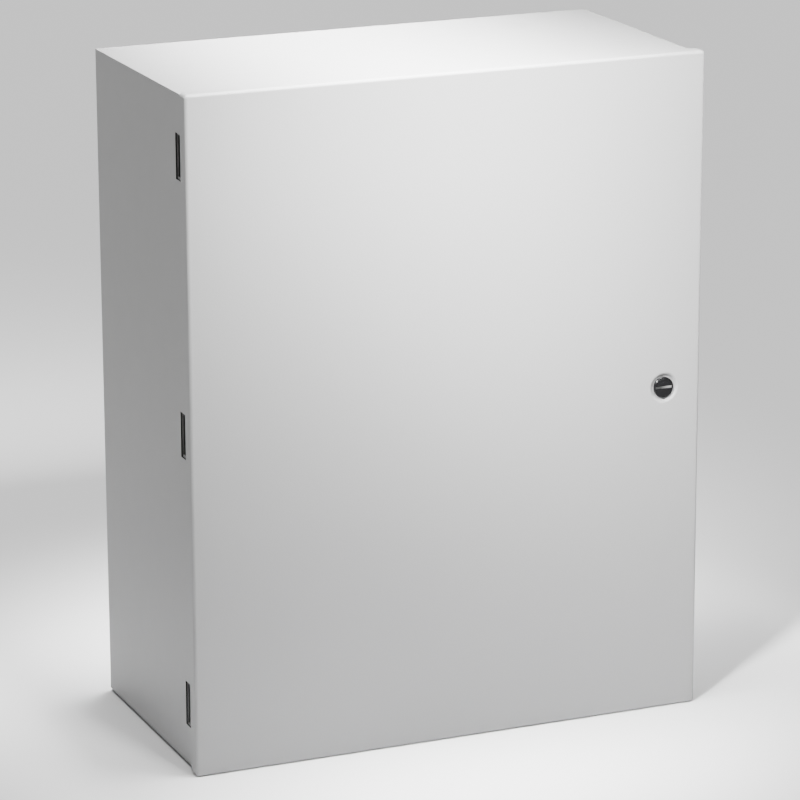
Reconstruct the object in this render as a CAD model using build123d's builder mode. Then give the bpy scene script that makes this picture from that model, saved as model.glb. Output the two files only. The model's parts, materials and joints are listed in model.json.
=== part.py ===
from build123d import *
import math
import os

# Wall-mounted sheet steel enclosure with one hinged cover, in millimetres.
# The origin is the centre of the wall holes on the outer face of the back.
# +Y points into the wall, +Z is up, and the cover opens towards -Y from the right.
os.makedirs("parts", exist_ok=True)

# Overall sizes, with the cover closed
overall_width = 609.6
overall_height = 762.0
overall_depth = 304.8

# Folded sheet steel
sheet = 1.9
fold_inside = 1.9
cover_clearance = 2.4
rim_gap = 1.0
cover_flange = 15.9
corner_over_fold = 0.7
lip_width = 19.0
mitre_gap = 0.8

# Holes for the wall bolts
wall_hole_radius = 5.6
wall_hole_inset = 25.4

# Hinges, three of them up the left side
hinge_from_end = 69.0
slot_height = 50.8
slot_end_clearance = 2.4
slot_ahead_of_pin = 16.0
slot_behind_pin = 13.5
pin_behind_flange = 13.0
pin_radius = 2.38
pin_clearance = 0.05
pin_head_overlap = 1.2
pin_head_height = 1.6
leaf_sheet = 1.9
roll_sweep = 290.0
leaf_bend = 3.0
leaf_bend_ahead = 9.5
weld_setback = 2.0
body_knuckle = 13.0
play_below = 0.1
play_above = 0.5
plate_behind_slot = 1.0
plate_length = 20.0
plate_corner = 3.0

# Latch, one flush quarter turn at mid height
latch_from_edge = 44.5
dish_depth = 3.2
dish_bend = 1.5
dish_slope_run = 3.8
dish_floor_margin = 1.2
seat_clearance = 0.15
barrel_radius = 9.4
barrel_flat_cut = 1.5
barrel_length = 8.4
housing_head_overlap = 2.6
housing_head = 3.0
housing_edge = 0.7
ring_width = 1.5
rotor_clearance = 0.1
rotor_head = 2.0
rotor_edge = 0.4
rotor_shaft_radius = 5.5
driver_slot_width = 3.0
driver_slot_depth = 1.4
rotor_square = 7.4
stop_washer_radius = 6.4
stop_washer_sheet = 1.3
stop_tab_width = 3.4
stop_tab_inside = 0.4
stop_play_degrees = 2.0
latch_turn_degrees = 90.0
end_play = 0.2
latch_nut_wall = 2.6
latch_nut_height = 3.6
cam_sheet = 2.5
cam_boss_radius = 9.0
cam_tip_radius = 6.0
cam_engagement = 10.8
cam_bend = 2.2
cam_behind_lip = 0.8
cam_past_nut = 0.65
crank_run = 5.5
latch_screw_radius = 2.4
latch_screw_flats = 8.0
latch_screw_head = 3.2
latch_screw_length = 9.0
lock_washer_radius = 4.6
lock_washer_sheet = 1.1
lock_washer_split = 0.8

# Mounting panel on four collar studs
panel_inset = 38.1
panel_sheet = 2.7
panel_corner = 4.0
panel_hole_in = 12.7
panel_hole_clearance = 0.5
collar_radius = 9.5
collar_height = 12.7
stud_radius = 4.76
stud_past_collar = 19.0
nut_flats = 14.3
nut_height = 8.3
washer_radius = 10.3
washer_sheet = 1.6
thread_clearance = 0.05

# Ground stud on the right wall
ground_from_back = 70.0
ground_from_bottom = 60.0
ground_stud_radius = 3.17
ground_stud_length = 19.0
ground_nut_flats = 11.1
ground_nut_height = 5.6
ground_washer_radius = 7.9
ground_washer_sheet = 1.2

# Sizes that follow from the ones above
fold_outside = fold_inside + sheet
cover_corner = fold_outside + corner_over_fold
cover_overhang = sheet + cover_clearance
body_width = overall_width - 2 * cover_overhang
body_height = overall_height - 2 * cover_overhang
body_depth = overall_depth - sheet - rim_gap
rim_y = -body_depth
face_y = -overall_depth

wall_hole_x = overall_width - 2 * wall_hole_inset
wall_hole_z = overall_height - 2 * wall_hole_inset

knuckle_bore = pin_radius + pin_clearance
roll_radius = knuckle_bore + leaf_sheet / 2
pin_x = -body_width / 2 + sheet + leaf_sheet + knuckle_bore
pin_y = rim_y + cover_flange - sheet - rim_gap + pin_behind_flange
slot_front = pin_y - slot_ahead_of_pin
slot_rear = pin_y + slot_behind_pin
hinge_rise = body_height / 2 - hinge_from_end
hinge_levels = {"bottom": -hinge_rise, "middle": 0.0, "top": hinge_rise}
cover_knuckle = slot_height - 2 * slot_end_clearance
leaf_height = cover_knuckle + play_below + play_above + 2 * body_knuckle
cover_leaf_lift = (play_below - play_above) / 2

latch_x = overall_width / 2 - latch_from_edge
barrel_flat = barrel_radius - barrel_flat_cut
housing_head_radius = barrel_radius + housing_head_overlap
rotor_recess_radius = housing_head_radius - ring_width
rotor_head_radius = rotor_recess_radius - rotor_clearance
dish_floor_radius = housing_head_radius + dish_floor_margin
dish_mouth_radius = dish_floor_radius + dish_slope_run
stop_tab_reach = barrel_radius - stop_tab_inside
latch_nut_flats = 2 * (barrel_radius + latch_nut_wall)
lip_edge_from_latch = latch_from_edge - cover_overhang - lip_width
cam_reach = lip_edge_from_latch + cam_engagement
crank_start = latch_nut_flats / math.sqrt(3) + cam_past_nut

panel_width = overall_width - 2 * panel_inset
panel_height = overall_height - 2 * panel_inset
panel_back_y = -sheet - collar_height
panel_front_y = panel_back_y - panel_sheet
panel_hole_x = panel_width - 2 * panel_hole_in
panel_hole_z = panel_height - 2 * panel_hole_in


def facing(y):
    """A plane square to the depth, seen as from the front: x right, y up, normal -Y."""
    return Plane((0, y, 0), x_dir=(1, 0, 0), z_dir=(0, -1, 0))


def latch_plane(behind_face):
    """The same at the latch, a stated depth behind the cover's outer face."""
    return Plane((latch_x, face_y + behind_face, 0), x_dir=(1, 0, 0), z_dir=(0, -1, 0))


def save(piece, name):
    piece.label = name
    export_step(piece, f"parts/{name}.step")


# Body: back, four walls and front lips folded from one sheet, the corner seams welded and ground sharp
with BuildPart() as enclosure_body:
    with BuildSketch(facing(0)):
        Rectangle(body_width, body_height)
    extrude(amount=body_depth)
    fillet(enclosure_body.faces().filter_by(Axis.Y).edges(), radius=fold_outside)
    offset(amount=-sheet, mode=Mode.SUBTRACT)
    with BuildSketch(facing(rim_y)):
        Rectangle(body_width - 2 * lip_width, body_height - 2 * lip_width)
        # The lips meet on mitres, left open as a narrow gap that stops short of the folds
        mitre_ends = (fold_outside + mitre_gap, lip_width + mitre_gap)
        mitre_in = sum(mitre_ends) / 2
        for side_x, side_z in ((1, 1), (1, -1), (-1, 1), (-1, -1)):
            with Locations((side_x * (body_width / 2 - mitre_in), side_z * (body_height / 2 - mitre_in))):
                Rectangle(
                    (mitre_ends[1] - mitre_ends[0]) * math.sqrt(2), mitre_gap, rotation=45 * side_x * side_z
                )
    extrude(amount=-sheet, mode=Mode.SUBTRACT)
    with BuildSketch(facing(0)):
        with GridLocations(wall_hole_x, wall_hole_z, 2, 2):
            Circle(wall_hole_radius)
    extrude(amount=sheet, mode=Mode.SUBTRACT)
    # Punched slots in the left wall, where the cover's hinge leaves pass through
    with BuildSketch(Plane.YZ.offset(-body_width / 2)):
        with Locations(*[((slot_front + slot_rear) / 2, level) for level in hinge_levels.values()]):
            Rectangle(slot_rear - slot_front, slot_height)
    extrude(amount=sheet, mode=Mode.SUBTRACT)
save(enclosure_body.part, "enclosure_body")

# Cover: one folded pan that fits over the front of the body, dished for the latch
dish_angle = math.atan2(dish_depth, dish_slope_run)
dish_shift = sheet / 2 * math.tan(dish_angle / 2)
dish_cut_radius = dish_mouth_radius + 2 * sheet
dish_start_radius = barrel_flat / 2
with BuildPart() as cover:
    with BuildSketch(facing(face_y)):
        RectangleRounded(overall_width, overall_height, cover_corner)
    extrude(amount=-cover_flange)
    fillet(cover.faces().sort_by(Axis.Y)[0].edges(), radius=fold_outside)
    offset(amount=-sheet, openings=cover.faces().sort_by(Axis.Y)[-1])
    with BuildSketch(latch_plane(0)):
        Circle(dish_cut_radius)
    extrude(amount=-sheet, mode=Mode.SUBTRACT)
    # The dish is the same sheet pressed in, so it is drawn as its middle line, round at its mouth
    with BuildSketch(Plane((latch_x, face_y, 0), x_dir=(1, 0, 0), z_dir=(0, 0, 1))):
        with BuildLine():
            FilletPolyline(
                (dish_cut_radius, sheet / 2),
                (dish_mouth_radius + dish_shift, sheet / 2),
                (dish_floor_radius + dish_shift, dish_depth + sheet / 2),
                (dish_start_radius, dish_depth + sheet / 2),
                radius=(dish_bend + sheet / 2, 0),
            )
        trace(line_width=sheet)
    revolve(axis=Axis((latch_x, face_y, 0), (0, 1, 0)))
    with BuildSketch(latch_plane(dish_depth)):
        Circle(barrel_radius + seat_clearance)
        Rectangle(2 * (barrel_flat + seat_clearance), 4 * barrel_radius, mode=Mode.INTERSECT)
    extrude(amount=-sheet, mode=Mode.SUBTRACT)
save(cover.part, "cover")


def hinge_cover_leaf(level):
    """Strap welded inside the cover's flange, bent in through the slot and rolled round the pin."""
    weld_x = -overall_width / 2 + sheet + leaf_sheet / 2
    weld_front = (weld_x, rim_y + weld_setback)
    elbow = (weld_x, pin_y - leaf_bend_ahead)
    from_pin = math.degrees(math.atan2(elbow[1] - pin_y, elbow[0] - pin_x)) % 360
    reach = math.hypot(elbow[0] - pin_x, elbow[1] - pin_y)
    roll_start = from_pin - math.degrees(math.acos(roll_radius / reach))
    with BuildPart() as leaf:
        with BuildSketch(Plane.XY.offset(level + cover_leaf_lift - cover_knuckle / 2)):
            with BuildLine():
                roll = CenterArc((pin_x, pin_y), roll_radius, roll_start, -roll_sweep)
                FilletPolyline(weld_front, elbow, roll @ 0, radius=leaf_bend)
            trace(line_width=leaf_sheet)
        extrude(amount=cover_knuckle)
    return leaf.part


def hinge_body_leaf(level):
    """Plate welded inside the wall behind the slot, with a rolled knuckle at each end."""
    plate_x = pin_x - roll_radius
    plate_front = slot_rear + plate_behind_slot
    notch_depth = plate_front - pin_y + 2 * roll_radius
    with BuildPart() as leaf:
        with BuildSketch(Plane.XY.offset(level - leaf_height / 2)):
            with BuildLine():
                Line((plate_x, plate_front + plate_length), (plate_x, pin_y))
                CenterArc((pin_x, pin_y), roll_radius, 180, roll_sweep)
            trace(line_width=leaf_sheet)
        extrude(amount=leaf_height)
        with BuildSketch(Plane.YZ.offset(plate_x - leaf_sheet)):
            with Locations((plate_front - notch_depth / 2, level)):
                Rectangle(notch_depth, leaf_height - 2 * body_knuckle)
        extrude(amount=4 * roll_radius, mode=Mode.SUBTRACT)
        back_corners = leaf.edges().filter_by(Axis.X).group_by(Axis.Y)[-1]
        chamfer(back_corners, length=plate_corner)
    return leaf.part


def hinge_pin(level):
    """Plain pin with a flat head on top, standing in the body leaf's knuckles."""
    with BuildPart() as pin:
        with BuildSketch(Plane.XY.offset(level - leaf_height / 2)):
            with Locations((pin_x, pin_y)):
                Circle(pin_radius)
        extrude(amount=leaf_height)
        with BuildSketch(Plane.XY.offset(level + leaf_height / 2)):
            with Locations((pin_x, pin_y)):
                Circle(pin_radius + pin_head_overlap)
        extrude(amount=pin_head_height)
    return pin.part


for place, level in hinge_levels.items():
    save(hinge_cover_leaf(level), f"hinge_cover_leaf_{place}")
    save(hinge_body_leaf(level), f"hinge_body_leaf_{place}")
    save(hinge_pin(level), f"hinge_pin_{place}")

# Latch housing: low head in the dish, flatted barrel through it, stop collar at its back end
barrel_end = dish_depth + barrel_length
rotor_front = dish_depth - housing_head
stop_inner = stop_washer_radius + seat_clearance
tab_half_angle = math.degrees(math.asin(stop_tab_width / 2 / stop_inner)) + stop_play_degrees
with BuildPart() as latch_housing:
    with BuildSketch(latch_plane(dish_depth)):
        Circle(housing_head_radius)
    extrude(amount=housing_head)
    chamfer(latch_housing.edges().group_by(Axis.Y)[0], length=housing_edge)
    with BuildSketch(latch_plane(dish_depth)) as barrel_section:
        Circle(barrel_radius)
        Rectangle(2 * barrel_flat, 4 * barrel_radius, mode=Mode.INTERSECT)
    extrude(amount=-barrel_length)
    with BuildSketch(latch_plane(barrel_end)):
        add(barrel_section.sketch_local)
        Circle(stop_inner, mode=Mode.SUBTRACT)
        # The open quarter lets the stop washer's tab swing from down to right
        with BuildLine(mode=Mode.PRIVATE) as quarter:
            swing = CenterArc(
                (0, 0), 2 * barrel_radius, -90 - tab_half_angle, latch_turn_degrees + 2 * tab_half_angle
            )
            Line((0, 0), swing @ 0)
            Line(swing @ 1, (0, 0))
        make_face(quarter.line, mode=Mode.SUBTRACT)
    extrude(amount=-stop_washer_sheet)
    with BuildSketch(latch_plane(rotor_front)):
        Circle(rotor_recess_radius)
    extrude(amount=-rotor_head, mode=Mode.SUBTRACT)
    with BuildSketch(latch_plane(rotor_front)):
        Circle(rotor_shaft_radius + rotor_clearance)
    extrude(amount=-(housing_head + barrel_length), mode=Mode.SUBTRACT)
save(latch_housing.part, "latch_housing")

# Nut that clamps the housing against the back of the dish
with BuildPart() as latch_nut:
    with BuildSketch(latch_plane(dish_depth + sheet)):
        RegularPolygon(latch_nut_flats / 2, 6, major_radius=False)
        Circle(barrel_radius + thread_clearance, mode=Mode.SUBTRACT)
    extrude(amount=-latch_nut_height)
save(latch_nut.part, "latch_nut")

# Rotor: slotted head, round shaft and a square that carries the washer and the cam
square_start = barrel_end + end_play / 2
washer_front = barrel_end + end_play
cam_front = washer_front + stop_washer_sheet
cam_back = cam_front + cam_sheet
with BuildPart() as latch_rotor:
    with BuildSketch(latch_plane(rotor_front + rotor_head)):
        Circle(rotor_head_radius)
    extrude(amount=rotor_head)
    chamfer(latch_rotor.edges().group_by(Axis.Y)[0], length=rotor_edge)
    with BuildSketch(latch_plane(rotor_front + rotor_head)):
        Circle(rotor_shaft_radius)
    extrude(amount=-(square_start - rotor_front - rotor_head))
    with BuildSketch(latch_plane(square_start)):
        Rectangle(rotor_square, rotor_square)
    extrude(amount=-(cam_back - square_start - end_play))
    with BuildSketch(latch_plane(rotor_front)):
        Rectangle(4 * rotor_head_radius, driver_slot_width)
    extrude(amount=-driver_slot_depth, mode=Mode.SUBTRACT)
    with BuildSketch(latch_plane(cam_back)):
        Circle(latch_screw_radius + thread_clearance)
    extrude(amount=latch_screw_length, mode=Mode.SUBTRACT)
save(latch_rotor.part, "latch_rotor")

# Stop washer: its tab swings in the housing's open quarter
with BuildPart() as latch_stop_washer:
    with BuildSketch(latch_plane(washer_front)):
        Circle(stop_washer_radius)
        with Locations((0, -stop_tab_reach / 2)):
            Rectangle(stop_tab_width, stop_tab_reach)
        Rectangle(rotor_square + seat_clearance, rotor_square + seat_clearance, mode=Mode.SUBTRACT)
    extrude(amount=-stop_washer_sheet)
save(latch_stop_washer.part, "latch_stop_washer")

# Cam: a strip cranked forward so that its tip comes close behind the body's lip
tip_front = sheet + rim_gap + sheet + cam_behind_lip
with BuildPart() as latch_cam:
    with BuildSketch(Plane((latch_x, face_y, 0), x_dir=(0, 0, -1), z_dir=(1, 0, 0))):
        with BuildLine():
            FilletPolyline(
                (-cam_boss_radius, cam_front + cam_sheet / 2),
                (crank_start, cam_front + cam_sheet / 2),
                (crank_start + crank_run, tip_front + cam_sheet / 2),
                (cam_reach, tip_front + cam_sheet / 2),
                radius=cam_bend,
            )
        trace(line_width=cam_sheet)
    extrude(amount=cam_boss_radius, both=True)
    with BuildSketch(latch_plane(0)):
        Circle(cam_boss_radius)
        with Locations((0, -cam_reach + cam_tip_radius)):
            Circle(cam_tip_radius)
        make_hull()
        Rectangle(rotor_square + seat_clearance, rotor_square + seat_clearance, mode=Mode.SUBTRACT)
    extrude(amount=-2 * cam_back, mode=Mode.INTERSECT)
save(latch_cam.part, "latch_cam")

# Split washer and screw that hold the cam on the rotor
with BuildPart() as latch_lock_washer:
    with BuildSketch(latch_plane(cam_back)):
        Circle(lock_washer_radius)
        Circle(latch_screw_radius + thread_clearance, mode=Mode.SUBTRACT)
        with Locations((lock_washer_radius / 2, 0)):
            Rectangle(lock_washer_radius, lock_washer_split, mode=Mode.SUBTRACT)
    extrude(amount=-lock_washer_sheet)
save(latch_lock_washer.part, "latch_lock_washer")

with BuildPart() as latch_screw:
    with BuildSketch(latch_plane(cam_back + lock_washer_sheet)):
        RegularPolygon(latch_screw_flats / 2, 6, major_radius=False)
    extrude(amount=-latch_screw_head)
    with BuildSketch(latch_plane(cam_back + lock_washer_sheet)):
        Circle(latch_screw_radius)
    extrude(amount=latch_screw_length - lock_washer_sheet)
save(latch_screw.part, "latch_screw")

# Mounting panel
with BuildPart() as mounting_panel:
    with BuildSketch(facing(panel_back_y)) as panel_outline:
        Rectangle(panel_width, panel_height)
        chamfer(panel_outline.vertices(), length=panel_corner)
        with GridLocations(panel_hole_x, panel_hole_z, 2, 2):
            Circle(stud_radius + panel_hole_clearance, mode=Mode.SUBTRACT)
    extrude(amount=panel_sheet)
save(mounting_panel.part, "mounting_panel")

# Four collar studs welded to the back, with a washer and a nut on each
with BuildPart() as panel_studs:
    with BuildSketch(facing(-sheet)):
        with GridLocations(panel_hole_x, panel_hole_z, 2, 2):
            Circle(collar_radius)
    extrude(amount=collar_height)
    with BuildSketch(facing(panel_back_y)):
        with GridLocations(panel_hole_x, panel_hole_z, 2, 2):
            Circle(stud_radius)
    extrude(amount=stud_past_collar)
save(panel_studs.part, "panel_studs")

with BuildPart() as panel_washers:
    with BuildSketch(facing(panel_front_y)):
        with GridLocations(panel_hole_x, panel_hole_z, 2, 2):
            Circle(washer_radius)
            Circle(stud_radius + thread_clearance, mode=Mode.SUBTRACT)
    extrude(amount=washer_sheet)
save(panel_washers.part, "panel_washers")


def hex_nut(flats, height, hole):
    """Nut standing on the plane z = 0."""
    with BuildPart() as nut:
        with BuildSketch():
            RegularPolygon(flats / 2, 6, major_radius=False)
            Circle(hole, mode=Mode.SUBTRACT)
        extrude(amount=height)
    return nut.part


panel_nut = hex_nut(nut_flats, nut_height, stud_radius + thread_clearance)
with BuildPart(facing(panel_front_y - washer_sheet)) as panel_nuts:
    with GridLocations(panel_hole_x, panel_hole_z, 2, 2):
        add(panel_nut)
save(panel_nuts.part, "panel_nuts")

# Ground stud welded inside the right wall near the bottom, with a washer and a nut
ground_plane = Plane(
    (body_width / 2 - sheet, -ground_from_back, -body_height / 2 + ground_from_bottom),
    x_dir=(0, 1, 0),
    z_dir=(-1, 0, 0),
)
with BuildPart() as ground_stud:
    with BuildSketch(ground_plane):
        Circle(ground_stud_radius)
    extrude(amount=ground_stud_length)
save(ground_stud.part, "ground_stud")

with BuildPart() as ground_washer:
    with BuildSketch(ground_plane):
        Circle(ground_washer_radius)
        Circle(ground_stud_radius + thread_clearance, mode=Mode.SUBTRACT)
    extrude(amount=ground_washer_sheet)
save(ground_washer.part, "ground_washer")

small_nut = hex_nut(ground_nut_flats, ground_nut_height, ground_stud_radius + thread_clearance)
with BuildPart(ground_plane.offset(ground_washer_sheet)) as ground_nut:
    add(small_nut)
save(ground_nut.part, "ground_nut")
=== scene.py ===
# %% [markdown]
# A wall-mounted electrical enclosure of folded sheet steel, with one hinged cover.
# The frame holds every piece at its real size and place. Here each piece gets its finish, and the
# small things that show close up are modelled: screw threads, weld marks, the turned corners of the
# nuts and the rounded edges of the latch. The latch's slot gets a painted highlight.

# %% Load the frame
import json
import math
import bpy
from mathutils import Matrix, Vector


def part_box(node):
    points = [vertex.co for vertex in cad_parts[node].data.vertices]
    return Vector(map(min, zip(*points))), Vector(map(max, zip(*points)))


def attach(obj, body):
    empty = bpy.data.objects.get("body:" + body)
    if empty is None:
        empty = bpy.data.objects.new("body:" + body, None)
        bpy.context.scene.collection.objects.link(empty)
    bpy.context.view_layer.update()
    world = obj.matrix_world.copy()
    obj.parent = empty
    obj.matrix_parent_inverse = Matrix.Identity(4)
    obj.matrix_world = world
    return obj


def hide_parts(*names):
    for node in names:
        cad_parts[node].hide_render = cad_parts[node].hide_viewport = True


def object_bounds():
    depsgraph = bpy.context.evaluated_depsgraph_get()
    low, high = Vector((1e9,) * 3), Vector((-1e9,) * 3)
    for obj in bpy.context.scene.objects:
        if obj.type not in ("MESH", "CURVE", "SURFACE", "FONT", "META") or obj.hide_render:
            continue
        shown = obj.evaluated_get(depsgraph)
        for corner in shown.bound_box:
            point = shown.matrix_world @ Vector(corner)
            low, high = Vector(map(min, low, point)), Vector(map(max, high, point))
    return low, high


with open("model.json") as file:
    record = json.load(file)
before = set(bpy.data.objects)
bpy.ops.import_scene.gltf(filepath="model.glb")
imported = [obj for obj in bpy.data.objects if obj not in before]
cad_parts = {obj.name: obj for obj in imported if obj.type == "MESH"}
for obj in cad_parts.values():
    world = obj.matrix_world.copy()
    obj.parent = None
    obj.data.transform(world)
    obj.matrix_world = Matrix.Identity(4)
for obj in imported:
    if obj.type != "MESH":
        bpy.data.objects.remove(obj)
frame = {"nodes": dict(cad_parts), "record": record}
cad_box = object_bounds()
nodes = frame["nodes"]
print("CAD nodes:", len(nodes), "box:", [[round(c, 4) for c in corner] for corner in cad_box])

# %% [markdown]
# The camera stands in front of the box, to its left and a little above, and far away, so that the
# edges that run into the depth hardly draw together. Its place was found by matching the straight
# edges of the box, seen through a long lens on a 36 mm wide sensor.

# %% Camera
photo_width = 800
sensor_width = 36.0
camera_turn = math.radians(-22.82)
camera_rise = math.radians(15.93)
camera_roll = math.radians(-0.20)
camera_distance = 4.5769
camera_focal_pixels = 4039.97
aim = Vector((0.00091, -0.15673, -0.02364))

towards_camera = Vector((
    math.sin(camera_turn) * math.cos(camera_rise),
    -math.cos(camera_turn) * math.cos(camera_rise),
    math.sin(camera_rise),
))
bpy.ops.object.select_all(action="DESELECT")
bpy.ops.object.camera_add(location=aim + towards_camera * camera_distance)
camera = bpy.context.object
camera.name = "camera"
camera.rotation_mode = "QUATERNION"
level_view = towards_camera.to_track_quat("Z", "Y")
camera.rotation_quaternion = level_view @ Matrix.Rotation(camera_roll, 3, "Z").to_quaternion()
camera.data.sensor_width = sensor_width
camera.data.lens = camera_focal_pixels * sensor_width / photo_width
camera.data.clip_end = 100
bpy.context.scene.camera = camera
print("lens:", round(camera.data.lens, 1), "mm")

# %% [markdown]
# The object stands on a plain pale floor that runs on to the horizon.

# %% Floor
floor_size = 60.0
floor_z = cad_box[0][2]
bpy.ops.mesh.primitive_plane_add(size=floor_size, location=(0, 0, floor_z))
floor = bpy.context.object
floor.name = "floor"


def set_inputs(node, values):
    for socket, value in values.items():
        node.inputs[socket].default_value = value


floor_white = bpy.data.materials.new("floor_white")
floor_white.use_nodes = True
floor_shader = floor_white.node_tree.nodes["Principled BSDF"]
set_inputs(floor_shader, {"Base Color": (0.9, 0.9, 0.9, 1), "Roughness": 0.9})
floor.data.materials.append(floor_white)
print("floor at z", round(floor_z, 4))

# %% [markdown]
# The light is a studio's. A white surround and a wide soft lamp from straight above, far away,
# light everything evenly and keep the floor pale. A soft lamp close over the front edge makes the
# cover fade from light at the top to darker at the bottom, and one over the top face makes that the
# brightest, while the left wall gets little but the surround. A small bright lamp at the upper left
# gives the black latch the glint on its rim.

# %% Light
world = bpy.data.worlds.new("studio")
bpy.context.scene.world = world
world.use_nodes = True
set_inputs(world.node_tree.nodes["Background"], {"Color": (1, 1, 1, 1), "Strength": 0.15})


def aimed_lamp(name, kind, place, look_at, power):
    bpy.ops.object.light_add(type=kind, location=place)
    lamp = bpy.context.object
    lamp.name = name
    lamp.data.energy = power
    lamp.rotation_mode = "QUATERNION"
    lamp.rotation_quaternion = (Vector(place) - Vector(look_at)).to_track_quat("Z", "Y")
    return lamp


far_above = aimed_lamp("far_above", "SUN", place=(0, 0, 20), look_at=(0, 0, 0), power=2.9)
far_above.data.angle = math.radians(40)
for lamp_name, lamp_place, look_at, size, power, spread in (
    ("over_front", (0.12, -1.1, 1.2), (0.03, -0.3, 0.42), (0.6, 0.3), 9.4, 39),
    ("over_top", (-0.05, -0.15, 1.05), (-0.03, -0.15, 0.38), (0.7, 0.35), 11.5, 38),
    ("glint", (-1.19, -1.45, 1.69), (0.26, -0.3, 0.0), (0.24, 0.24), 2.0, 16),
):
    lamp = aimed_lamp(lamp_name, "AREA", lamp_place, look_at, power)
    lamp.data.shape = "RECTANGLE"
    lamp.data.size, lamp.data.size_y = size
    lamp.data.spread = math.radians(spread)
    print(lamp_name, "lamp:", power, "W")

# %% [markdown]
# A finish is a shader fed by noise. These helpers each add one step: a new material, noise, a range
# or a colour mixed by it, a sum and a bump. The noise is read on object coordinates in metres, so
# its scale is about the number of lumps in a metre. Stretched, it makes marks that run one way.

# %% Helpers for the finishes


def new_material(name):
    material = bpy.data.materials.new(name)
    material.use_nodes = True
    tree = material.node_tree
    shader = tree.nodes["Principled BSDF"]
    coords = tree.nodes.new("ShaderNodeTexCoord")
    return material, tree, shader, coords


def noise(tree, coords, scale, detail=2.0, stretch=None):
    vector = coords.outputs["Object"]
    if stretch:
        mapping = tree.nodes.new("ShaderNodeMapping")
        set_inputs(mapping, {"Scale": stretch})
        tree.links.new(vector, mapping.inputs["Vector"])
        vector = mapping.outputs["Vector"]
    texture = tree.nodes.new("ShaderNodeTexNoise")
    set_inputs(texture, {"Scale": scale, "Detail": detail})
    tree.links.new(vector, texture.inputs["Vector"])
    return texture.outputs["Fac"]


def between(tree, factor, low, high):
    ramp = tree.nodes.new("ShaderNodeMapRange")
    set_inputs(ramp, {"To Min": low, "To Max": high})
    tree.links.new(factor, ramp.inputs["Value"])
    return ramp.outputs["Result"]


def mix_colour(tree, factor, first, second):
    mix = tree.nodes.new("ShaderNodeMix")
    mix.data_type = "RGBA"
    set_inputs(mix, {"A": (*first, 1), "B": (*second, 1)})
    tree.links.new(factor, mix.inputs["Factor"])
    return mix.outputs["Result"]


def calculated(tree, operation, first, second, third=0.0):
    node = tree.nodes.new("ShaderNodeMath")
    node.operation = operation
    for socket, value in zip(node.inputs, (first, second, third)):
        if isinstance(value, float):
            socket.default_value = value
        else:
            tree.links.new(value, socket)
    return node.outputs["Value"]


def bump(tree, shader, height, strength, distance):
    node = tree.nodes.new("ShaderNodeBump")
    set_inputs(node, {"Strength": strength, "Distance": distance})
    tree.links.new(height, node.inputs["Height"])
    tree.links.new(node.outputs["Normal"], shader.inputs["Normal"])


# %% [markdown]
# Light grey powder coat: an even neutral grey with a soft sheen and the very fine pebbling that
# powder leaves when it flows out in the oven. Noise of two sizes drives a small bump: waves about
# 2 mm long, with finer ones on them. Much larger noise shifts the roughness and tone by a few
# percent, as a real batch of paint does. White enamel is the same recipe, whiter and smoother.

# %% Grey powder coat and white enamel


def painted(name, light, dark, rough, pebble_strength):
    material, tree, shader, coords = new_material(name)
    drift = noise(tree, coords, scale=3.0)
    patches = noise(tree, coords, scale=40.0)
    waves = noise(tree, coords, scale=420.0)
    fine_waves = noise(tree, coords, scale=1300.0)
    tree.links.new(mix_colour(tree, drift, dark, light), shader.inputs["Base Color"])
    tree.links.new(between(tree, patches, *rough), shader.inputs["Roughness"])
    pebbles = calculated(tree, "MULTIPLY_ADD", fine_waves, 0.35, waves)
    bump(tree, shader, pebbles, pebble_strength, distance=0.0003)
    return material


grey_recipe = {
    "light": (0.37, 0.37, 0.37),
    "dark": (0.35, 0.35, 0.35),
    "rough": (0.40, 0.50),
    "pebble_strength": 0.35,
}
powder_coat = painted("grey_powder_coat", **grey_recipe)
enamel = painted(
    "white_enamel",
    light=(0.80, 0.80, 0.78),
    dark=(0.77, 0.77, 0.75),
    rough=(0.26, 0.34),
    pebble_strength=0.15,
)
print("paints:", powder_coat.name, enamel.name)

# %% [markdown]
# Bright zinc plate is a thin metal skin with a faint blue and yellow tint from its passivation. The
# tint and the gloss drift over a few millimetres, and short tumbling marks run along the parts, so
# stretched noise drives the roughness. The brass nut is turned from bar, so its marks run round it.
# The latch's two castings are smooth and black, with a fine grain.

# %% Zinc plate, brass and the black die casting


def metal(name, first, second, rough, mark_stretch, mark_strength):
    material, tree, shader, coords = new_material(name)
    set_inputs(shader, {"Metallic": 1.0})
    tint = noise(tree, coords, scale=180.0)
    marks = noise(tree, coords, scale=260.0, detail=3.0, stretch=mark_stretch)
    tree.links.new(mix_colour(tree, tint, first, second), shader.inputs["Base Color"])
    tree.links.new(between(tree, marks, *rough), shader.inputs["Roughness"])
    bump(tree, shader, marks, mark_strength, distance=0.0001)
    return material


zinc = metal(
    "zinc_plate",
    first=(0.60, 0.64, 0.70),
    second=(0.74, 0.72, 0.64),
    rough=(0.22, 0.42),
    mark_stretch=(1.0, 8.0, 8.0),
    mark_strength=0.25,
)
brass = metal(
    "turned_brass",
    first=(0.78, 0.58, 0.28),
    second=(0.68, 0.46, 0.19),
    rough=(0.20, 0.36),
    mark_stretch=(10.0, 1.0, 1.0),
    mark_strength=0.20,
)

black_cast, tree, shader, coords = new_material("black_die_cast")
cast_grain = noise(tree, coords, scale=1400.0, detail=3.0)
cast_tone = mix_colour(
    tree, noise(tree, coords, scale=120.0), (0.003, 0.003, 0.003), (0.009, 0.009, 0.010)
)
tree.links.new(cast_tone, shader.inputs["Base Color"])
tree.links.new(between(tree, cast_grain, 0.20, 0.32), shader.inputs["Roughness"])
set_inputs(shader, {"Specular IOR Level": 0.25})
bump(tree, shader, cast_grain, strength=0.10, distance=0.0001)
print("metals:", zinc.name, brass.name, black_cast.name)

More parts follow.
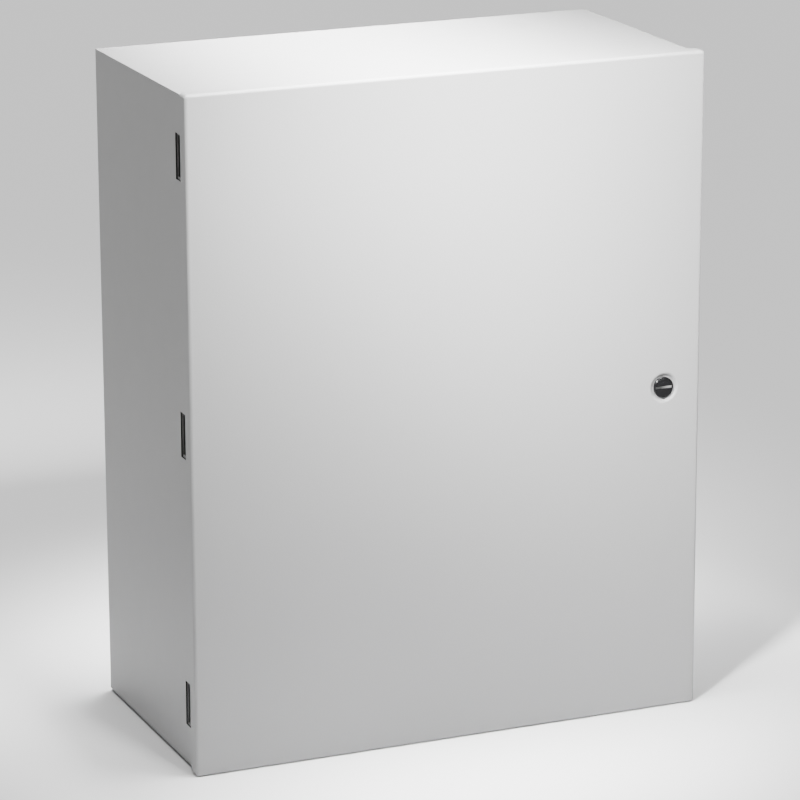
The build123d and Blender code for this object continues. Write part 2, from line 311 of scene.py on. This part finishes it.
# %% [markdown]
# Every CAD node has a slot that says what it is made of, and each slot has one finish. The finishes
# could go on by hand, but then a forgotten node would stay plain. A loop over the record's list
# can't miss one. The nodes keep their shape and place.

# %% Give each CAD node the finish of its slot
slot_of = {row["node"]: row["material_slot"] for row in frame["record"]["subparts"]}
finishes = {
    "grey_powder_coat": powder_coat,
    "white_enamel": enamel,
    "zinc_plate": zinc,
    "black_latch": black_cast,
    "brass": brass,
}
for name, node in nodes.items():
    node.data.materials.clear()
    node.data.materials.append(finishes[slot_of[name]])
print("finished nodes:", len(nodes))

# %% [markdown]
# The cut edges of the hinge slots are painted near black. This is painted shade, so that the slots
# look as dark as a deep shadow. The body gets its own grey coat. It turns dark where a point lies
# inside the thickness of the left wall and inside a slot's outline. The dark zone reaches a little
# past the slot's ends, and stops short of the wall's two faces.

# %% Painted shade on the cut edges of the hinge slots
mm = 0.001
hinge_levels = ("bottom", "middle", "top")
sheet = 1.9
slot_front, slot_rear, slot_height = 10.0, 39.5, 50.8
shade_inset = 0.10

body_coat_with_slot_shade = painted("grey_powder_coat_with_painted_slot_shade", **grey_recipe)
tree = body_coat_with_slot_shade.node_tree
shader = tree.nodes["Principled BSDF"]
point = tree.nodes.new("ShaderNodeSeparateXYZ")
tree.links.new(tree.nodes["Texture Coordinate"].outputs["Object"], point.inputs["Vector"])


def zone(axis, middle, half_width):
    """1 where the point lies within half_width (in millimetres) of middle, and 0 elsewhere."""
    return calculated(tree, "COMPARE", point.outputs[axis], middle, half_width * mm)


body_left, body_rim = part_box("enclosure_body")[0][:2]
slot_middle = body_rim + (slot_front + slot_rear) / 2 * mm
in_wall = zone("X", body_left + sheet / 2 * mm, sheet / 2 - shade_inset)
in_slot = zone("Y", slot_middle, (slot_rear - slot_front) / 2 + 0.25)
at_level = 0.0
for level_name in hinge_levels:
    leaf_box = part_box("hinge_cover_leaf_" + level_name)
    level = (leaf_box[0][2] + leaf_box[1][2]) / 2
    at_level = calculated(tree, "ADD", at_level, zone("Z", level, slot_height / 2 + 0.30))
# Mask of the painted shade: 1 inside the wall's thickness, within a slot's outline, at a hinge
# level.
bare = calculated(tree, "MULTIPLY", calculated(tree, "MULTIPLY", in_wall, in_slot), at_level)
# The grey coat is mixed to near black, the painted shade, where that mask is 1.
slot_shade_mix = tree.nodes.new("ShaderNodeMix")
slot_shade_mix.data_type = "RGBA"
set_inputs(slot_shade_mix, {"B": (0.012, 0.012, 0.012, 1)})
tree.links.new(shader.inputs["Base Color"].links[0].from_socket, slot_shade_mix.inputs["A"])
tree.links.new(bare, slot_shade_mix.inputs["Factor"])
tree.links.new(slot_shade_mix.outputs["Result"], shader.inputs["Base Color"])
nodes["enclosure_body"].data.materials[0] = body_coat_with_slot_shade
print("slots' middle at y", round(slot_middle, 4), "wall at x", round(body_left, 4))

# %% [markdown]
# The studs, weld marks and turned corners are all round, so they are spun. One vertex is placed,
# extruded along the outline point by point, and the outline is spun about the part's axis, as on a
# lathe. Points that lie on the axis merge, so each pole closes.

# %% Spin an outline about an axis


def start_clean():
    if bpy.context.object and bpy.context.object.mode == "EDIT":
        bpy.ops.object.mode_set(mode="OBJECT")
    bpy.ops.object.select_all(action="DESELECT")


def pick(piece):
    start_clean()
    piece.select_set(True)
    bpy.context.view_layer.objects.active = piece


def edit_all():
    bpy.ops.object.mode_set(mode="EDIT")
    bpy.ops.mesh.select_all(action="SELECT")


def keep_place_in_mesh():
    bpy.ops.object.transform_apply(location=True, rotation=True, scale=True)


def single_point(name, place):
    """The point an outline starts from: a plane merged to its centre, left in edit mode."""
    start_clean()
    bpy.ops.mesh.primitive_plane_add(size=mm, location=place)
    piece = bpy.context.object
    piece.name = name
    edit_all()
    bpy.ops.mesh.merge(type="CENTER")
    return piece


def spun(name, foot, axis, outline, steps=48):
    """outline holds (along the axis, radius) points, in millimetres from foot."""
    foot, axis = Vector(foot), Vector(axis).normalized()
    side = axis.orthogonal().normalized()
    places = [foot + axis * along * mm + side * radius * mm for along, radius in outline]
    piece = single_point(name, places[0])
    for here, there in zip(places, places[1:]):
        bpy.ops.mesh.extrude_region_move(TRANSFORM_OT_translate={"value": there - here})
    bpy.ops.mesh.select_all(action="SELECT")
    bpy.ops.mesh.spin(steps=steps, angle=2 * math.pi, center=foot, axis=axis)
    bpy.ops.mesh.select_all(action="SELECT")
    bpy.ops.mesh.remove_doubles(threshold=0.002 * mm)
    bpy.ops.mesh.normals_make_consistent(inside=False)
    bpy.ops.object.mode_set(mode="OBJECT")
    keep_place_in_mesh()
    return piece


# %% [markdown]
# Pieces are cut with each other, joined and copied, and each ends with smooth shading, its finish
# and the body that it rides on. A cut can leave points that nearly meet, which make slivers, so the
# points closer than 0.02 mm are merged after each cut.

# %% Cut, join, copy and finish a piece


def use_modifier(piece, kind, name, **settings):
    pick(piece)
    modifier = piece.modifiers.new(name, kind)
    for key, value in settings.items():
        setattr(modifier, key, value)
    bpy.ops.object.modifier_apply(modifier=modifier.name)


def without_slivers(piece):
    pick(piece)
    edit_all()
    bpy.ops.mesh.remove_doubles(threshold=0.02 * mm)
    bpy.ops.mesh.dissolve_degenerate(threshold=0.01 * mm)
    bpy.ops.mesh.normals_make_consistent(inside=False)
    bpy.ops.object.mode_set(mode="OBJECT")


def cut_with(piece, tool, how):
    use_modifier(piece, "BOOLEAN", "cut", object=tool, operation=how, solver="EXACT")
    bpy.data.objects.remove(tool)
    without_slivers(piece)


def joined(name, pieces):
    start_clean()
    for piece in pieces:
        piece.select_set(True)
    bpy.context.view_layer.objects.active = pieces[0]
    bpy.ops.object.join()
    whole = bpy.context.object
    whole.name = whole.data.name = name
    return whole


def copied(piece, shift):
    pick(piece)
    bpy.ops.object.duplicate(linked=False)
    twin = bpy.context.object
    twin.location = shift
    bpy.ops.object.transform_apply(location=True, rotation=False, scale=False)
    return twin


def finished(piece, body, slot, edge_degrees=30, finish=None):
    pick(piece)
    bpy.ops.object.shade_smooth_by_angle(angle=math.radians(edge_degrees))
    piece.data.materials.clear()
    piece.data.materials.append(finish or finishes[slot])
    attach(piece, body)
    print(piece.name, "has", len(piece.data.polygons), "faces")
    return piece


# %% [markdown]
# A rolled thread is one V that climbs a helix. It could be stacked rings, but then it wouldn't
# climb, so a single V outline goes through the Screw modifier, one pitch up for each turn. It wraps
# a plain core, which closes the ends and carries the chamfer that lets a nut start.

# %% Make a threaded stud


def stand_on(piece, place, axis):
    piece.rotation_mode = "QUATERNION"
    piece.rotation_quaternion = Vector((0, 0, 1)).rotation_difference(Vector(axis))
    piece.location = place
    keep_place_in_mesh()


def thread(name, foot, axis, pitch, turns, crest, root):
    """The V stands at the origin, is screwed about Z and is then turned onto the stud's axis."""
    piece = single_point(name, (root * mm, 0, 0))
    flat = pitch / 8
    flank = (pitch - 2 * flat) / 2
    for outwards, up in ((crest - root, flank), (0, flat), (root - crest, flank), (0, flat)):
        move = {"value": (outwards * mm, 0, up * mm)}
        bpy.ops.mesh.extrude_region_move(TRANSFORM_OT_translate=move)
    bpy.ops.object.mode_set(mode="OBJECT")
    keep_place_in_mesh()
    use_modifier(
        piece, "SCREW", "thread", axis="Z", angle=2 * math.pi, screw_offset=pitch * mm,
        iterations=turns, steps=28, render_steps=28,
        use_merge_vertices=True, merge_threshold=0.001 * mm,
    )
    pick(piece)
    edit_all()
    bpy.ops.mesh.remove_doubles(threshold=0.001 * mm)
    bpy.ops.mesh.fill_holes(sides=0)
    bpy.ops.mesh.normals_make_consistent(inside=False)
    bpy.ops.object.mode_set(mode="OBJECT")
    stand_on(piece, foot, axis)
    return piece


def threaded_rod(name, foot, axis, length, crest, root, pitch, bare):
    """A core with a chamfered end, and the thread wrapped round it from bare mm up."""
    core_radius = root + 0.05
    chamfer = 0.9
    core = spun(name, foot, axis, [
        (-0.3, 0), (-0.3, core_radius), (length - chamfer, core_radius), (length, root - 0.75),
        (length, 0),
    ])
    turns = int((length - bare - 1.0) / pitch) - 1
    start = Vector(foot) + Vector(axis).normalized() * bare * mm
    return joined(name, [core, thread(name + "_thread", start, axis, pitch, turns, crest, root)])


# %% [markdown]
# The mounting panel sits on four collar studs. Each is stud-welded to the back in one flash, which
# leaves a low rough ring of melted steel round the collar's foot. One stud is made with its collar,
# flash and thread, and copied to the other three places.

# %% Panel studs
out, back = (0, -1, 0), (0, 1, 0)
collar_radius, collar_height, collar_chamfer = 9.5, 12.7, 0.5
studs_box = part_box("panel_studs")
stud_x = studs_box[1][0] - collar_radius * mm
stud_z = studs_box[1][2] - collar_radius * mm
back_inside = studs_box[1][1]


def at_four_corners(piece):
    """The piece, with a copy at each of the mounting panel's other three corners."""
    shifts = ((-2 * stud_x, 0, 0), (0, 0, -2 * stud_z), (-2 * stud_x, 0, -2 * stud_z))
    return [piece] + [copied(piece, shift) for shift in shifts]


flash_outline = [(0, 0), (0, 10.7), (0.25, 10.6), (0.55, 10.2), (0.6, 9.85), (0.9, collar_radius)]
collar_end = [
    (collar_height - collar_chamfer, collar_radius),
    (collar_height, collar_radius - collar_chamfer),
    (collar_height, 0),
]
collar = spun("collar", (stud_x, back_inside, stud_z), out, flash_outline + collar_end)
stud_foot = (stud_x, back_inside - collar_height * mm, stud_z)
rod = threaded_rod(
    "rod", stud_foot, out, length=19.0, crest=4.76, root=3.85, pitch=1.5875, bare=1.6
)
studs = at_four_corners(joined("stud", [collar, rod]))
panel_studs = finished(joined("threaded_panel_studs", studs), "enclosure", "zinc_plate")
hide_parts("panel_studs")
print("studs at x", round(stud_x, 4), "z", round(stud_z, 4), "m")

# %% [markdown]
# A nut is cut from a hexagonal bar and its corners are turned off at 30 degrees on both faces,
# which leaves the curved edges that show on each flat. Bevelling the corners would be even all
# round and wrong. So the hexagon is intersected with a spun body that has those cones, and a
# countersunk bore is cut out of it. Both tools run on past the faces, because a tool that ends on a
# face leaves slivers there.

# %% Turn the corners off a hexagon
corner_angle = math.radians(30)
past = 0.5
sink = 0.6


def turned_hexagon(name, foot, axis, flats, height, bore, both_ends=True):
    corner = flats / math.sqrt(3)
    start_clean()
    bpy.ops.mesh.primitive_cylinder_add(vertices=6, radius=corner * mm, depth=height * mm)
    hexagon = bpy.context.object
    hexagon.name = name
    stand_on(hexagon, Vector(foot) + Vector(axis).normalized() * height / 2 * mm, axis)
    slope = math.tan(corner_angle)
    wide = corner + 0.05
    lead = (wide - flats / 2 + 0.25) * slope
    tip = wide - (lead + past) / slope
    far_end = [(height - lead, wide), (height + past, tip), (height + past, 0)]
    near_end = [(-past, 0), (-past, wide)]
    if both_ends:
        near_end = [(-past, 0), (-past, tip), (lead, wide)]
    cones = near_end + far_end
    cut_with(hexagon, spun(name + "_cones", foot, axis, cones, 72), "INTERSECT")
    if bore:
        mouth = bore + sink + past
        tool = [
            (-past, 0), (-past, mouth), (sink, bore), (height - sink, bore),
            (height + past, mouth), (height + past, 0),
        ]
        cut_with(hexagon, spun(name + "_bore", foot, axis, tool, 48), "DIFFERENCE")
    return hexagon


nut_foot = (stud_x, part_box("panel_nuts")[1][1], stud_z)
nut = turned_hexagon("nut", nut_foot, out, flats=14.3, height=8.3, bore=4.8)
nuts = joined("turned_panel_nuts", at_four_corners(nut))
panel_nuts = finished(nuts, "enclosure", "zinc_plate")
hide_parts("panel_nuts")

# %% [markdown]
# The ground stud is welded inside the right wall and carries a brass nut, so that a bare wire keeps
# good contact there. The two are made with the same steps as the panel's.

# %% Ground stud and its nut
inward = (-1, 0, 0)
ground_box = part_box("ground_stud")
ground_y = (ground_box[0][1] + ground_box[1][1]) / 2
ground_z = (ground_box[0][2] + ground_box[1][2]) / 2
ground_foot = (ground_box[1][0], ground_y, ground_z)
ground_flash = [(0, 0), (0, 4.5), (0.25, 4.3), (0.5, 3.7), (0.9, 3.2), (0.9, 0)]
flash = spun("flash", ground_foot, inward, ground_flash)
ground_rod = threaded_rod(
    "ground_rod", ground_foot, inward, length=19.0, crest=3.17, root=2.6, pitch=1.27, bare=1.0
)
ground_stud = joined("threaded_ground_stud", [flash, ground_rod])
finished(ground_stud, "enclosure", "zinc_plate")
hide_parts("ground_stud")
ground_nut = turned_hexagon(
    "turned_ground_nut", (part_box("ground_nut")[1][0], ground_y, ground_z), inward,
    flats=11.1, height=5.6, bore=3.21,
)
finished(ground_nut, "enclosure", "brass")
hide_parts("ground_nut")

# %% [markdown]
# The latch is clamped by a thin hexagonal nut behind the dish, and its cam is held by a hex-headed
# screw. The nut is turned on both faces, the screw's head only on the side away from its washer.

# %% Latch nut and screw head
latch_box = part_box("latch_nut")
latch_x = (latch_box[0][0] + latch_box[1][0]) / 2
latch_nut = turned_hexagon(
    "turned_latch_nut", (latch_x, latch_box[0][1], 0), back, flats=24.0, height=3.6, bore=9.45
)
finished(latch_nut, "cover", "zinc_plate")
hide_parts("latch_nut")

head_height = 3.2
shank_outline = [(-0.2, 0), (-0.2, 2.4), (7.4, 2.4), (7.9, 1.9), (7.9, 0)]
screw_foot = (latch_x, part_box("latch_screw")[1][1] - head_height * mm, 0)
screw_head = turned_hexagon(
    "screw_head", screw_foot, back, flats=8.0, height=head_height, bore=0, both_ends=False
)
screw_shank = spun("screw_shank", screw_foot, out, shank_outline, steps=32)
latch_screw = joined("turned_latch_screw", [screw_head, screw_shank])
finished(latch_screw, "latch", "zinc_plate")
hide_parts("latch_screw")

# %% [markdown]
# The latch's head, rotor and cam are cast or stamped, so their edges are rounded over, and such an
# edge is what catches the light. Each is remade from its CAD shape: the flat faces are put back
# together from their triangles, and then every sharp edge gets a small round. Rounding the edges in
# a shader would look the same from the front and wrong in outline. Last, the faces are made
# triangles again, because a large face with many corners can be split badly when it is exported.

# %% Round the edges of the latch's castings and cam


def rounded_copy(name, node_name, radius):
    start_clean()
    bpy.ops.mesh.primitive_plane_add(size=mm)
    piece = bpy.context.object
    piece.data = nodes[node_name].data.copy()
    piece.name = piece.data.name = name
    edit_all()
    bpy.ops.mesh.remove_doubles(threshold=0.001 * mm)
    bpy.ops.mesh.dissolve_limited(angle_limit=math.radians(0.5))
    bpy.ops.object.mode_set(mode="OBJECT")
    use_modifier(
        piece, "BEVEL", "round", width=radius * mm, segments=3, limit_method="ANGLE",
        angle_limit=math.radians(35), use_clamp_overlap=True,
    )
    without_slivers(piece)
    use_modifier(piece, "TRIANGULATE", "triangles", quad_method="BEAUTY", ngon_method="BEAUTY")
    return piece


for name, node_name, body, slot, radius in (
    ("rounded_latch_housing", "latch_housing", "cover", "black_latch", 0.25),
    ("rounded_latch_rotor", "latch_rotor", "latch", "black_latch", 0.18),
    ("rounded_latch_cam", "latch_cam", "latch", "zinc_plate", 0.30),
):
    piece = finished(rounded_copy(name, node_name, radius), body, slot, edge_degrees=40)
    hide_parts(node_name)

# %% [markdown]
# The floor of the slot carries a painted highlight. Its metal colour goes from nearly black at the
# left end to bright at the right end, broken up by noise. The bright end is painted highlight and
# the dark end painted shade.

# %% Painted highlight in the slot
slot_highlight_metal, tree, shader, coords = new_material("slot_painted_highlight_metal")
set_inputs(shader, {"Metallic": 1.0})
along = tree.nodes.new("ShaderNodeSeparateXYZ")
tree.links.new(coords.outputs["Object"], along.inputs["Vector"])
# The painted highlight grows from left to right along the slot.
highlight_ramp = tree.nodes.new("ShaderNodeMapRange")
set_inputs(highlight_ramp, {"From Min": latch_x - 3.0 * mm, "From Max": latch_x + 7.0 * mm})
tree.links.new(along.outputs["X"], highlight_ramp.inputs["Value"])
broken_up = noise(tree, coords, scale=500.0, detail=3.0, stretch=(1.0, 6.0, 6.0))
highlight_rise = calculated(tree, "MULTIPLY", highlight_ramp.outputs["Result"], 0.8)
painted_highlight_amount = calculated(tree, "MULTIPLY_ADD", broken_up, 0.35, highlight_rise)
painted_highlight_amount.node.use_clamp = True
# Near black is the painted shade, and the bright end is the painted highlight.
highlight_tone = mix_colour(tree, painted_highlight_amount, (0.02, 0.02, 0.02), (0.95, 0.95, 0.93))
tree.links.new(highlight_tone, shader.inputs["Base Color"])
scratches = noise(tree, coords, scale=700.0, detail=3.0, stretch=(1.0, 8.0, 8.0))
gloss = noise(tree, coords, scale=900.0)
tree.links.new(between(tree, gloss, 0.28, 0.42), shader.inputs["Roughness"])
bump(tree, shader, scratches, strength=0.3, distance=0.0001)
print("slot painted highlight metal:", slot_highlight_metal.name)

# %% [markdown]
# The painted highlight is a thin strip that lies in the slot. It is longer than the slot and is cut
# round by the head's circle, so that its ends follow the rotor's edge.

# %% Strip with the painted highlight on the floor of the screwdriver slot
driver_slot_depth, head_radius = 1.4, 10.3
strip_length, strip_thickness, strip_height = 22.0, 0.08, 2.9
strip_lift = 0.02
slot_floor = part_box("latch_rotor")[0][1] + driver_slot_depth * mm
start_clean()
bpy.ops.mesh.primitive_cube_add(
    size=1,
    location=(latch_x, slot_floor - strip_lift * mm, 0),
    scale=(strip_length * mm, strip_thickness * mm, strip_height * mm),
)
strip = bpy.context.object
strip.name = "slot_floor_painted_highlight"
keep_place_in_mesh()
circle = [(-1, 0), (-1, head_radius), (1, head_radius), (1, 0)]
ends = spun("slot_ends", (latch_x, slot_floor, 0), out, circle, steps=96)
cut_with(strip, ends, "INTERSECT")
finished(strip, "latch", "black_latch", finish=slot_highlight_metal)

# %% [markdown]
# The hinge leaves are spot welded to the wall. Each weld leaves a shallow dish with a raised rim
# where the electrode pressed, and the paint runs over it. One mark is spun and copied to the three
# places on each of the three plates.

# %% Spot welds on the hinge plates
weld_spacing, weld_inset = 24.0, 9.0
weld_outline = [
    (-0.2, 0), (-0.2, 3.6), (0, 3.6), (0.16, 3.1), (0.22, 2.7), (0.16, 2.3), (0.04, 1.9), (0.02, 0),
]
weld_feet = []
for place in hinge_levels:
    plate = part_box("hinge_body_leaf_" + place)
    level = (plate[0][2] + plate[1][2]) / 2
    for rise in (-weld_spacing, 0, weld_spacing):
        weld_feet.append(Vector((
            plate[0][0] + sheet * mm, plate[1][1] - weld_inset * mm, level + rise * mm,
        )))
mark = spun("weld_mark", weld_feet[0], (1, 0, 0), weld_outline, steps=32)
weld_marks = [mark] + [copied(mark, foot - weld_feet[0]) for foot in weld_feet[1:]]
finished(joined("hinge_spot_welds", weld_marks), "enclosure", "grey_powder_coat", edge_degrees=60)
